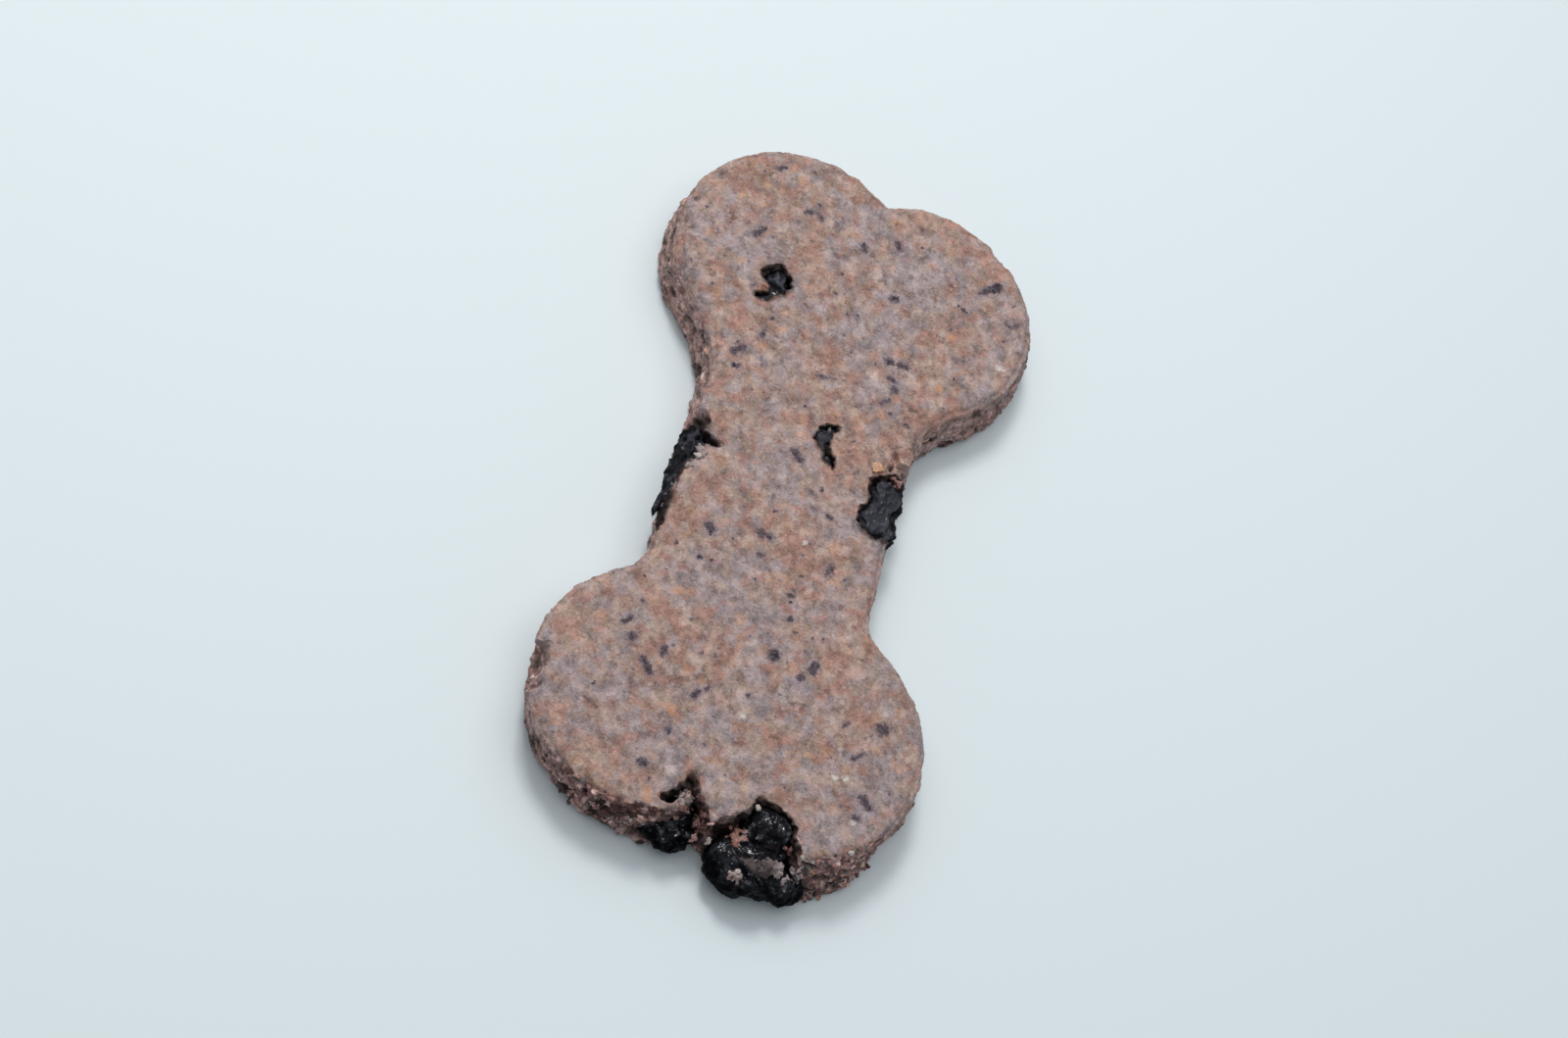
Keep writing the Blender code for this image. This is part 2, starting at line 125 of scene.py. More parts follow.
# The shade in the wall's cracks, crevices and holes, and how much more there is where it is torn
CRACK_BAND = (0.02, 0.30)
CRACK_SHADE = (0.22, 0.33)
CREVICE_SIZE = 0.75
CREVICE_BAND = (0.22, 0.45)
CREVICE_SHADE = 0.55
HOLE_SHADE = (0.60, 0.25)
DEEPEST_SHADE = 0.9

# The wall's grains are browner, and painted with shade, towards the lower left, and painted lighter
# towards the right
BROWN_SHADE_BAND = (26.0, 42.0)
BROWN_SHADE = 0.8
PAINTED_LIGHT_BAND = (3.0, 13.0)
PAINTED_LIGHT = 0.45

# How much of the wall's own colour shows on the torn rim, and where the wall is even
RIM_CRUMB = 0.5
RIM_CRUMB_BAND = (0.18, 0.5)
EVEN_CRUMB = 0.6

# The lower right corner's worn foot: its pixel, one that it is drawn in towards, how far round
# it that goes, how deep, and how far below the top it is full
TRIM_CORNER = (1100, 807)
TRIM_TOWARDS = (1030, 740)
TRIM_REACH = 6.8
TRIM_DEPTH = 1.4
TRIM_DROP = 3.5

# A small step: how far inside a surface a ray starts, and the least way to a berry
LEAST_WAY = 0.05

# The pits round the berries: which faces are in them, how far they close on the berry, the size
# and reach of the tongues of dough in their edges, and their light and shade
PIT_BAND = (0.20, 0.48)
TOWARDS_BERRY = 0.5
TOWARDS_ROUNDS = 3
PIT_CLOSING = 0.15
PIT_TONGUES = ((0.95, 0.20), (0.50, 0.46))
PIT_LIGHT = 0.3
PIT_SHADE = 0.75
PIT_SHADE_BAND = (0.15, 0.75)

# The berries' stain on the dough, with the painted shade in their pits: how far it reaches, the size
# of its ragged edge, how ragged it is across the wall, over the rim and away from the berry, the
# bands that it fills, its strength inside, over the rim and elsewhere, and its mottling
STAIN_SHADE_REACH = 1.8
STAIN_SHADE_EDGE = 0.5
STAIN_SHADE_RAGGED = (0.3, 0.26, 0.2)
STAIN_SHADE_BAND = (0.05, 0.35)
STAIN_SHADE_WALL = (0.2, 0.7)
SPILL_RIM = (0.34, 0.46)
SPILL_BAND = (0.50, 0.66)
SPILL_SHARE = 0.85
STAIN_SHADE_LEAST = 0.04
STAIN_SHADE_FULL = 0.97
STAIN_SHADE_MOTTLE = 0.14
MOTTLE_BAND = (0.0, 0.5)

# Berries: the mesh's step and the rounds that even it out, their top and foot, and the skin's
# folds, wrinkles and creases, each a size and a depth
BERRY_STEP = 0.11
BERRY_ROUNDS = 6
BERRY_TOP = DOUGH_TOP - 0.05
BERRY_FOOT = 0.02
FOLD = (1.75, 0.62)
WRINKLE = (0.75, 0.28)
CREASE = (0.34, 0.09)

# How the folds sway and are drawn out, how wide they and the wrinkles are, and how far both rise
FOLD_SWAY = (1.6, 0.55)
FOLD_STRETCH = 0.5
FOLD_WIDTH = 0.55
WRINKLE_WIDTH = 0.4
FOLD_RISE = 0.12
WRINKLE_RISE = 0.3

# Where a berry is pressed flat under the top, and by how much; how thick it is where its folds
# are shallow and where they are full; and which of its skin is a ridge, or open to the sky
PRESSED_LEAN = (0.7, 0.95)
PRESSED_BAND = (BERRY_TOP - 0.8, BERRY_TOP - 0.3)
PRESSED_SHARE = 0.6
BERRY_THICK = (0.8, 2.6)
THICK_ROUNDS = 12
THIN_SHARE = 0.15
RIDGE_BAND = (-0.35, 0.0)
RIDGE_WRINKLE = 0.3
OPEN_LEAN = (0.30, 0.92)

# Dark flecks of berry skin in the top: both ends in the photograph, and width in millimetres,
# at either end where they differ
FLECKS = (
    (1017, 352, 1024, 351, 0.55), (960, 371, 965, 371, 0.45), (1001, 397, 1010, 392, 0.70),
    (1036, 382, 1042, 381, 0.55), (1046, 382, 1048, 387, 0.50), (1076, 402, 1078, 409, 0.55),
    (1099, 401, 1101, 408, 0.70), (1094, 440, 1101, 441, 0.80), (1176, 460, 1182, 458, 0.45),
    (986, 477, 996, 472, 0.80), (986, 485, 992, 486, 0.50), (1007, 466, 1009, 460, 0.45),
    (1045, 492, 1050, 494, 0.45), (1090, 482, 1097, 484, 0.80), (1099, 484, 1107, 488, 0.75),
    (1092, 493, 1098, 497, 0.60), (1096, 499, 1098, 504, 0.60), (1087, 512, 1094, 509, 0.45),
    (1104, 525, 1107, 529, 0.50), (1028, 542, 1034, 552, 0.80), (970, 592, 974, 600, 0.90),
    (1004, 598, 1010, 602, 0.90), (1010, 601, 1015, 604, 0.60), (962, 616, 967, 615, 0.45),
    (1003, 613, 1008, 615, 0.45), (1051, 587, 1055, 590, 0.50), (1051, 629, 1055, 622, 0.50),
    (911, 660, 920, 656, 0.55), (915, 670, 922, 669, 0.85), (939, 683, 942, 676, 0.75),
    (925, 683, 932, 696, 0.75), (959, 711, 965, 706, 0.50), (967, 706, 973, 705, 0.45),
    (1024, 642, 1029, 643, 0.50), (1024, 658, 1028, 658, 0.65), (1011, 683, 1019, 683, 1.35),
    (1040, 696, 1045, 688, 0.90), (1031, 700, 1036, 697, 0.75), (941, 731, 945, 736, 0.55),
    (1085, 733, 1094, 734, 1.40), (1062, 731, 1066, 728, 0.35), (1068, 754, 1077, 749, 0.40),
    (1109, 707, 1111, 716, 0.40), (1074, 777, 1081, 789, 0.80), (1068, 793, 1074, 794, 0.60),
    (1092, 808, 1094, 804, 0.45), (922, 754, 930, 757, 0.85), (1143, 447, 1147, 451, 0.40),
    (1152, 438, 1171, 432, 0.15, 1.35),
)

# Thin dark streaks, in the same way
STREAKS = (
    (1050, 494, 1064, 496, 0.25), (1095, 542, 1103, 541, 0.20), (967, 576, 970, 583, 0.25),
    (1039, 569, 1045, 576, 0.20), (1026, 715, 1038, 717, 0.30), (886, 710, 897, 721, 0.25),
    (1089, 418, 1091, 431, 0.30), (1055, 768, 1070, 768, 0.25),
    # The three below are stain and painted shade in the notch above the right waist berry
    (1091, 559, 1098, 550, 0.40), (1098, 546, 1100, 554, 0.35), (1100, 553, 1107, 555, 0.40),
)

# Small bright grains in the top, in the same way
ORANGE_GRAINS = (
    (1124, 502, 1130, 501, 0.80), (1019, 461, 1024, 461, 0.60), (945, 639, 954, 638, 0.75),
    (1133, 467, 1139, 467, 0.60), (941, 716, 949, 722, 1.10), (929, 771, 930, 783, 0.80),
)
WHITE_GRAINS = (
    (1035, 606, 1038, 606, 0.50), (1167, 487, 1172, 488, 0.60), (992, 723, 996, 724, 0.55),
    (1054, 766, 1059, 767, 0.55), (1062, 767, 1067, 767, 0.55), (1067, 797, 1071, 797, 0.50),
)

MARKS = {
    "fleck": FLECKS,
    "streak": STREAKS,
    "orange_grain": ORANGE_GRAINS,
    "white_grain": WHITE_GRAINS,
}

# Crumbs stuck to the berries and the wall, a few of them white crumbs that are painted glints and
# dark ones that are also painted shade: pixel in the photograph, spread in pixels, count, half size,
# and tone, which is a place in the crumb's scale of tones
STUCK_CRUMBS = (
    (990, 805, 5.5, 22, 0.21, 0.89), (987, 808, 4.5, 12, 0.18, 0.88),
    (994, 807, 3.5, 9, 0.18, 0.86), (1004, 787, 2.0, 5, 0.20, 1.00),
    (988, 833, 4.0, 12, 0.20, 0.85), (990, 829, 2.0, 4, 0.18, 1.00),
    (1000, 826, 1.6, 5, 0.55, 0.76), (1005, 829, 1.8, 7, 0.60, 0.76),
    (1010, 828, 1.6, 5, 0.60, 0.76), (1015, 829, 1.6, 5, 0.40, 0.80),
    (1019, 825, 2.2, 10, 0.20, 0.82), (1013, 824, 2.5, 8, 0.18, 0.80),
    (1031, 832, 4.2, 16, 0.21, 0.84), (1021, 836, 3.0, 9, 0.18, 0.84),
    (997, 823, 2.2, 6, 0.24, 0.78), (1019, 831, 1.8, 5, 0.24, 0.82),
    (971, 809, 1.5, 3, 0.20, 1.00), (952, 779, 4.5, 14, 0.19, 0.83),
    (958, 781, 3.5, 12, 0.19, 0.80), (953, 787, 4.0, 9, 0.18, 0.25),
    (965, 780, 3.0, 12, 0.15, 0.08), (966, 790, 4.0, 20, 0.15, 0.14),
    # The darkest crumbs low on the left, from x 875 to 932, are dark crumbs and also painted shade
    # on that wall
    (963, 797, 4.0, 16, 0.15, 0.30), (920, 788, 5.0, 24, 0.17, 0.05),
    (908, 786, 4.5, 18, 0.16, 0.06), (932, 788, 3.0, 12, 0.16, 0.04),
    (875, 762, 3.0, 8, 0.16, 0.08), (871, 773, 2.2, 7, 0.22, 0.75),
    (925, 793, 1.5, 5, 0.19, 0.69), (906, 797, 1.6, 5, 0.17, 0.69),
    (896, 798, 1.6, 5, 0.17, 0.69), (917, 793, 1.2, 4, 0.15, 1.00),
    (893, 784, 3.5, 5, 0.11, 1.00), (887, 797, 1.6, 6, 0.18, 0.90),
    (873, 783, 1.6, 6, 0.18, 0.90), (899, 790, 5.0, 14, 0.16, 0.10),
    (967, 801, 3.0, 14, 0.17, 0.25), (961, 807, 2.5, 12, 0.16, 0.50),
    # The white crumbs at (1015, 437) and (1053, 529) are painted glints on the berries
    (1009, 433, 1.2, 5, 0.20, 0.89), (1015, 437, 0.6, 3, 0.13, 1.00),
    (1053, 529, 1.2, 4, 0.15, 1.00), (965, 542, 1.6, 6, 0.24, 0.84),
    (964, 547, 1.8, 7, 0.24, 1.00), (967, 546, 1.8, 6, 0.25, 0.84),
    (957, 554, 2.2, 6, 0.20, 0.84), (1085, 556, 0.5, 12, 0.41, 0.93),
    (1098, 564, 3.0, 9, 0.30, 0.40), (1026, 816, 2.5, 5, 0.30, 0.20),
)

# Berries: which way the folds run, in degrees, their size, how far the skin stands out of the solid,
# and its bloom, which also paints how lit each berry looks
SKINS = {
    "end_berry": (-35.0, 1.35, 0.22, 0.15),
    "wall_berry": (10.0, 1.20, 0.16, 0.0),
    "right_waist_berry": (80.0, 1.0, 0.10, 1.0),
    "left_waist_berry": (75.0, 1.0, 0.0, 0.6),
    "knob_berry": (-60.0, 0.85, 0.16, 0.9),
    "thin_berry": (60.0, 0.80, 0.10, 0.9),
}

BERRIES = tuple(SKINS)

# How far round a mark its distance is kept, how near one the dough's mesh stays fine, and the
# shortest length that a mark is divided by
MARK_REACH = 1.0
MARK_MARGIN = 0.5
MARK_LEAST = 1e-6

# What scatters a grain's place into its random share, and how a shift moves a place in the noise
SCATTER = (12.9898, 78.233, 37.719)
SCATTER_SCALE = 43758.5453
SHIFT_WAY = (1.0, 0.7, 0.3)

# A crumb's broken sides: how many, how near its middle, and the least slope; and its lumps
CRUMB_SIDES = 9
CRUMB_BREAK = (0.55, 0.95)
CRUMB_SLOPE = 0.3
CRUMB_LUMP = (0.7, 0.35)

# The wall's crumbs: the gap between them, the fewest to stand out, their half size, how much of
# it they have where the wall is even, their spread of shapes, and how far they are sunk
CRUMB_GAP = 0.80
FEWEST_CRUMBS = 0.04
CRUMB_HALF_SIZE = (0.12, 0.34)
CRUMB_LEAST = 0.55
CRUMB_SPREAD = (0.7, 1.25)
CRUMB_FLATNESS = 0.75
CRUMB_SINK = 0.25

# Where the wall's crumbs stand: on faces steeper than this, between foot and top, off the stain and
# painted shade
CRUMB_LEAN = 0.75
CRUMB_FOOT = 0.4
CRUMB_TOP = DOUGH_TOP - 0.35
CRUMB_STAIN_SHADE = 0.1

# The stuck crumbs: their spread of shapes and of tones, how far they rise, the step that grows
# those that touch together, and the grain on them
STUCK_SPREAD = (0.7, 1.3)
STUCK_TONES = 0.01
STUCK_RISE = 0.35
STUCK_STEP = 0.085
STUCK_GRAIN = (0.22, 0.13)

# Colours
MAUVE = (0.338, 0.268, 0.274, 1.0)
BEIGE = (0.392, 0.276, 0.226, 1.0)
ROSY = (0.362, 0.200, 0.162, 1.0)
ORANGE_CHIP = (0.430, 0.240, 0.150, 1.0)
PALE_FLAKE = (0.45, 0.36, 0.33, 1.0)
RED_CHIP = (0.22, 0.11, 0.09, 1.0)
PALE_GRAIN = (0.56, 0.46, 0.42, 1.0)
WHITE_GRAIN = (0.72, 0.66, 0.62, 1.0)
ORANGE_GRAIN = (0.66, 0.32, 0.17, 1.0)
DARK_SKIN = (0.024, 0.014, 0.022, 1.0)
GREY_SKIN = (0.100, 0.083, 0.102, 1.0)
LILAC = (0.225, 0.178, 0.215, 1.0)
# Near black, for the berries' stain and the painted shade in their pits
STAIN_SHADE = (0.007, 0.002, 0.002, 1.0)
HOLLOW_SHADE = (0.022, 0.012, 0.012, 1.0)
BERRY_BLACK = (0.0016, 0.0014, 0.0022, 1.0)
BERRY_BLUE = (0.010, 0.010, 0.014, 1.0)
# Grey-blue bloom, and painted sheen
BERRY_BLOOM_SHEEN = (0.062, 0.063, 0.077, 1.0)
# Pale specks: flour, and painted glints
FLOUR_AND_GLINT = (0.470, 0.445, 0.450, 1.0)
FLOOR_COLOUR = (0.745, 0.818, 0.848, 1.0)

# The crumb's scale of tones: a place on it and a colour
CRUMB_TONES = (
    (0.00, (0.070, 0.034, 0.034, 1.0)),
    (0.25, (0.220, 0.115, 0.103, 1.0)),
    (0.55, (0.430, 0.252, 0.230, 1.0)),
    (0.70, (0.500, 0.340, 0.318, 1.0)),
    (0.74, (0.095, 0.072, 0.071, 1.0)),
    (0.78, (0.095, 0.072, 0.071, 1.0)),
    (0.84, (0.370, 0.305, 0.300, 1.0)),
    (0.89, (0.285, 0.125, 0.098, 1.0)),
    (0.93, (0.580, 0.310, 0.180, 1.0)),
    (0.97, (0.550, 0.485, 0.450, 1.0)),
)


def coordinates(mesh):
    """A mesh's points, in millimetres."""
    flat = np.empty(len(mesh.vertices) * 3, np.float32)
    mesh.vertices.foreach_get("co", flat)
    return flat.reshape(-1, 3).astype(float) / MM


def place_points(mesh, points):
    """Move a mesh's points to new places, in millimetres."""
    mesh.vertices.foreach_set("co", (points * MM).astype(np.float32).ravel())
    mesh.update()


def normals(mesh):
    """The outward direction at each point of a mesh."""
    flat = np.empty(len(mesh.vertices) * 3, np.float32)
    mesh.vertex_normals.foreach_get("vector", flat)
    return flat.reshape(-1, 3).astype(float)


def paint(mesh, name, values):
    """Keep one number for each point of a mesh, which its material reads."""
    layer = mesh.attributes.new(name, "FLOAT", "POINT")
    layer.data.foreach_set("value", np.clip(values, 0.0, 1.0).astype(np.float32))


def painted(mesh, name):
    """The numbers that a mesh keeps under a name, one for each point."""
    values = np.empty(len(mesh.vertices), np.float32)
    mesh.attributes[name].data.foreach_get("value", values)
    return values


def settled(item):
    """Apply an object's modifiers to its mesh."""
    graph = bpy.context.evaluated_depsgraph_get()
    mesh = bpy.data.meshes.new_from_object(item.evaluated_get(graph))
    item.modifiers.clear()
    item.data = mesh
    mesh.name = item.name
    return mesh


def fine_copy(node, name, step):
    """A new object with the shape of a solid, in even squares of one step."""
    item = bpy.data.objects.new(name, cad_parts[node].data.copy())
    bpy.context.scene.collection.objects.link(item)
    item.data.materials.clear()
    remesh = item.modifiers.new("fine", "REMESH")
    remesh.mode = "VOXEL"
    remesh.voxel_size = step * MM
    remesh.use_smooth_shade = True
    settled(item)
    return item


def relaxed(mesh, values, rounds):
    """Rows of values for the mesh's points, each drawn towards its neighbours' mean."""
    edges = np.empty(len(mesh.edges) * 2, np.int32)
    mesh.edges.foreach_get("vertices", edges)
    a, b = edges.reshape(-1, 2).T
    count = np.bincount(edges, minlength=len(values))
    for _ in range(rounds):
        columns = []
        for column in values.T:
            total = np.bincount(a, column[b], len(column)) + np.bincount(b, column[a], len(column))
            columns.append(0.5 * column + 0.5 * total / count)
        values = np.array(columns).T
    return values


def spread(mesh, share, rounds):
    """A share for each of the mesh's points, blurred over its neighbours."""
    return relaxed(mesh, share[:, None], rounds)[:, 0]


def field(points, size, shift=0.0):
    """Smooth noise from about -1 to 1, with bumps of one size."""
    return np.array([noise.noise(place) for place in (points / size + shift).tolist()])


def grains_at(points, size, shift=0.0):
    """For each point: how far inside its grain it is, and a random share for that grain."""
    near, second, middle = [], [], []
    for place in (points / size + shift).tolist():
        distances, places = noise.voronoi(place)
        near.append(distances[0])
        second.append(distances[1])
        middle.append(places[0])
    share = np.sin(np.array(middle) @ SCATTER) * SCATTER_SCALE
    return np.array(second) - np.array(near), share % 1.0


def ramp(values, low, high):
    """0 below low, 1 above high, and a soft step between them."""
    share = np.clip((values - low) / (high - low), 0.0, 1.0)
    return share * share * (3.0 - 2.0 * share)


def finish_piece(item, nodes=()):
    """Set a piece on the biscuit's body, and hide the solids that it is finished from."""
    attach(item, BODY)
    if nodes:
        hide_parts(*nodes)


def seen_ray(x, y):
    """The direction from the camera through a pixel of the photograph."""
    across = (x - PHOTO_MIDDLE[0]) / PHOTO_REACH
    up = (PHOTO_MIDDLE[1] - y) / PHOTO_REACH
    return (CAMERA_RIGHT * across + CAMERA_UP * up - CAMERA_BACK).normalized()


def on_top(x, y):
    """The place on the biscuit's top that a pixel of the photograph shows."""
    ray = seen_ray(x, y)
    return CAMERA_PLACE + ray * ((DOUGH_TOP - CAMERA_PLACE.z) / ray.z)


def mark_distance(points, ends):
    """How far each point is outside the nearest of some marks, each a line with a width."""
    nearest = np.full(len(points), np.inf)
    for x1, y1, x2, y2, *widths in ends:
        first = np.array(on_top(x1, y1))
        last = np.array(on_top(x2, y2))
        start = 0.5 * widths[0]
        end = 0.5 * widths[-1]
        run = last - first
        shorter = min(1.0 / max(np.linalg.norm(run), MARK_LEAST), 1.0 / (start + end))
        first = first + shorter * start * run
        run = run * (1.0 - shorter * (start + end))
        share = np.clip((points - first) @ run / max(run @ run, MARK_LEAST), 0.0, 1.0)
        away = np.linalg.norm(points - first - share[:, None] * run, axis=1)
        nearest = np.minimum(nearest, away - start - share * (end - start))
    return nearest


class Value:
    """A number that varies over a surface, so that shader maths reads as plain sums."""

    def __init__(self, finish, socket):
        self.finish = finish
        self.socket = socket

    def math(self, operation, *values):
        """A new number, worked out by one step of shader maths."""
        made = self.finish.node("ShaderNodeMath", {"operation": operation}, dict(enumerate(values)))
        return Value(self.finish, made.outputs[0])

    def __add__(self, other):
        return self.math("ADD", self, other)

    def __sub__(self, other):
        return self.math("SUBTRACT", self, other)

    def __mul__(self, other):
        return self.math("MULTIPLY", self, other)

    def __rsub__(self, other):
        return self.math("SUBTRACT", other, self)

    __radd__ = __add__
    __rmul__ = __mul__

    def most(self, other):
        """The greater of two numbers."""
        return self.math("MAXIMUM", self, other)

    def step(self, low, high):
        """0 up to low, 1 from high, and a soft step between."""
        made = self.finish.node(
            "ShaderNodeMapRange",
            {"interpolation_type": "SMOOTHSTEP"},
            {"Value": self, "From Min": low, "From Max": high},
        )
        return Value(self.finish, made.outputs["Result"])

    def within(self, reach, soft):
        """1 below reach, falling to 0 over a soft edge."""
        return 1.0 - self.step(reach - soft, reach + soft)


class Finish:
    """A surface finish, built node by node."""

    def __init__(self, name):
        self.material = bpy.data.materials.new(name)
        self.material.use_nodes = True
        self.tree = self.material.node_tree
        self.shader = self.tree.nodes["Principled BSDF"]
        place = self.node("ShaderNodeTexCoord").outputs["Object"]
        self.place = self.vector("SCALE", place, Scale=1.0 / MM)

    def node(self, kind, settings=None, inputs=None):
        """Add a node: its settings first, then the values or links of its sockets."""
        made = self.tree.nodes.new(kind)
        for name, value in (settings or {}).items():
            if name == "stops":
                self.set_stops(made.color_ramp, value)
            else:
                setattr(made, name, value)
        for name, value in (inputs or {}).items():
            self.feed(made.inputs[name], value)
        return made

    def feed(self, socket, value):
        """Give a socket a number, a colour or a link."""
        if isinstance(value, Value):
            self.tree.links.new(value.socket, socket)
        elif isinstance(value, bpy.types.NodeSocket):
            self.tree.links.new(value, socket)
        else:
            socket.default_value = value

    def set_stops(self, scale, stops):
        """Give a scale of colours its places and their colours."""
        while len(scale.elements) < len(stops):
            scale.elements.new(1.0)
        for element, (position, colour) in zip(scale.elements, stops):
            element.position = position
            element.color = colour

    def vector(self, operation, first, second=None, **others):
        """Vector maths, which works on places and on colours."""
        inputs = {0: first, **others}
        if second is not None:
            inputs[1] = second
        return self.node("ShaderNodeVectorMath", {"operation": operation}, inputs).outputs[0]

    def shifted(self, shift):
        """The place, moved to another part of the noise."""
        return self.vector("ADD", self.place, tuple(shift * part for part in SHIFT_WAY))

    def wavy(self, size, reach, shift=0.0):
        """The place, pushed about so that patches get uneven edges."""
        inputs = {"Vector": self.shifted(shift), "Scale": 1.0 / size, "Detail": 2.0}
        push = self.node("ShaderNodeTexNoise", None, inputs).outputs["Color"]
        middle = self.vector("SUBTRACT", push, (0.5, 0.5, 0.5))
        return self.vector("ADD", self.place, self.vector("SCALE", middle, Scale=reach))

    def spots(self, size, detail=2.0, rough=0.5, shift=0.0):
        """Soft noise from 0 to 1 with patches of about one size."""
        inputs = {"Vector": self.shifted(shift), "Scale": 1.0 / size,
                  "Detail": detail, "Roughness": rough}
        return Value(self, self.node("ShaderNodeTexNoise", None, inputs).outputs["Fac"])

    def grains(self, size, place):
        """Scattered grains: the distance to each, and three random shares for each."""
        inputs = {"Vector": place, "Scale": 1.0 / size}
        made = self.node("ShaderNodeTexVoronoi", None, inputs)
        parts = self.node("ShaderNodeSeparateColor", None, {"Color": made.outputs["Color"]})
        return [Value(self, socket) for socket in (made.outputs["Distance"], *parts.outputs)]

    def painted(self, name):
        """A number kept in the mesh."""
        made = self.node("ShaderNodeAttribute", {"attribute_name": name})
        return Value(self, made.outputs["Fac"])

    def blend(self, amount, first, second):
        """Mix two colours."""
        inputs = {0: amount, 6: first, 7: second}
        made = self.node("ShaderNodeMix", {"data_type": "RGBA"}, inputs)
        return made.outputs[2]

    def scale(self, amount, stops):
        """A colour from a scale of colours."""
        return self.node("ShaderNodeValToRGB", {"stops": stops}, {"Fac": amount}).outputs["Color"]

    def lit(self, colour, amount):
        """A colour made lighter or darker."""
        return self.vector("SCALE", colour, Scale=amount)

    def mark(self, name, push=0.0):
        """How far outside a painted mark's edge a place is, in millimetres."""
        return (self.painted(name) - 0.5) * (2.0 * MARK_REACH) + push

    def bumped(self, height, strength, distance):
        """The surface's direction with a fine relief on it."""
        inputs = {"Height": height, "Strength": strength, "Distance": distance * MM}
        return self.node("ShaderNodeBump", None, inputs).outputs["Normal"]

    def set(self, **sockets):
        """Set the shader's own sockets by name, with _ for a space."""
        for name, value in sockets.items():
            self.feed(self.shader.inputs[name.replace("_", " ")], value)
        return self.material


def baked_crumb(f, ragged, tone, grit):
    """The top's crumb: mauve with beige and rosy patches, pale flakes and chips of bran."""
    _, flake_warmth, flake_tone, flake_kind = f.grains(1.15, f.wavy(0.8, reach=1.1))
    _, chip_warmth, chip_tone, chip_kind = f.grains(0.50, ragged)
    wide = f.spots(6.5, shift=33.0)
    warm = f.spots(1.8, shift=15.0) * 0.55 + wide * 0.40 + flake_warmth * 0.05
    rosy = f.spots(1.8, shift=61.0) * 0.60 + wide * 0.35 + chip_warmth * 0.05
    colour = f.blend(warm.step(0.40, 0.60), MAUVE, BEIGE)
    colour = f.blend(rosy.step(0.46, 0.62) * 0.90, colour, ROSY)
    colour = f.blend(flake_kind.step(0.88, 0.94) * 0.35, colour, PALE_FLAKE)
    colour = f.blend(flake_kind.within(0.05, 0.02) * 0.45, colour, ORANGE_CHIP)
    colour = f.blend(chip_kind.step(0.90, 0.95) * 0.40, colour, RED_CHIP)
    light = flake_tone * 0.18 + chip_tone * 0.34 + tone * 1.90 + grit * 1.00
    return f.lit(colour, light - 0.70), light, chip_tone


def speckled(f, colour, ragged, tone, grit):
    """The dough's colour with pale grains, dark flecks and the marks that are in known places."""
    distance, chance, _, _ = f.grains(0.80, ragged)
    pale = distance.within(0.16, 0.12) * chance.step(0.74, 0.80)
    colour = f.blend(pale * 0.60, colour, PALE_GRAIN)
    distance, chance, size, _ = f.grains(1.50, f.wavy(0.45, reach=0.8, shift=9.0))
    reach = distance - size * 0.14
    dark = reach.within(0.03, 0.07) * chance.step(0.50, 0.58)
    halo = reach.within(0.12, 0.20) * chance.step(0.50, 0.58)
    uneven = f.spots(0.55, detail=4.0, rough=0.8, shift=7.0)
    push = (uneven - 0.5) * 1.5 + (grit - 0.5) * 0.5
    fleck = f.mark("fleck", push)
    dark = dark.most(fleck.within(0.0, 0.22))
    halo = halo.most(fleck.within(0.25, 0.45))
    colour = f.blend(halo * (0.25 + grit * 0.55), colour, LILAC)
    greyed = f.spots(0.36, detail=3.0, rough=0.7, shift=27.0).step(0.44, 0.60)
    berry_skin = f.blend(greyed, DARK_SKIN, GREY_SKIN)
    colour = f.blend(dark * (0.50 + tone * 0.75), colour, berry_skin)
    streak = f.mark("streak", push * 0.7)
    colour = f.blend(streak.within(0.0, 0.18) * (0.10 + grit * 0.8), colour, DARK_SKIN)
    colour = f.blend(f.mark("orange_grain", push).within(0.0, 0.26) * 0.55, colour, ORANGE_GRAIN)
    colour = f.blend(f.mark("white_grain", push).within(0.0, 0.14) * 0.75, colour, WHITE_GRAIN)
    return colour, dark, pale


def dough_finish():
    """Dry baked dough: its crumbly wall, the stain and painted shade in its pits, and its hollows.
    """
    f = Finish("baked_dough")
    ragged = f.wavy(0.35, reach=0.55, shift=4.0)
    tone = f.spots(1.5, detail=4.0, rough=0.64, shift=11.0)
    grit = f.spots(0.23, rough=0.6, shift=5.0)
    colour, light, chip_tone = baked_crumb(f, ragged, tone, grit)
    colour, dark, pale = speckled(f, colour, ragged, tone, grit)
    crumb = f.scale(f.painted("grain") * 0.75 + chip_tone * 0.25, CRUMB_TONES)
    colour = f.blend(f.painted("wall") * 0.85, colour, f.lit(crumb, light * 2.4 - 2.42))
    # Stain and painted shade in the berries' pits
    colour = f.blend(f.painted("stain"), colour, STAIN_SHADE)
    colour = f.blend(f.painted("hollow"), colour, HOLLOW_SHADE)
    return f.set(
        Base_Color=colour,
        Roughness=0.80,
        Specular_IOR_Level=0.30,
        Normal=f.bumped(light + dark * -0.25 + pale * 0.2, strength=0.8, distance=0.14),
    )


def crumb_finish():
    """Loose and half-loose crumbs, each of its own tone."""
    f = Finish("crumb")
    grit = f.spots(0.20, detail=3.0, rough=0.7)
    colour = f.lit(f.scale(f.painted("tone"), CRUMB_TONES), grit * 2.6 - 0.25)
    return f.set(
        Base_Color=colour,
        Roughness=0.85,
        Specular_IOR_Level=0.20,
        Normal=f.bumped(grit, strength=0.9, distance=0.14),
    )


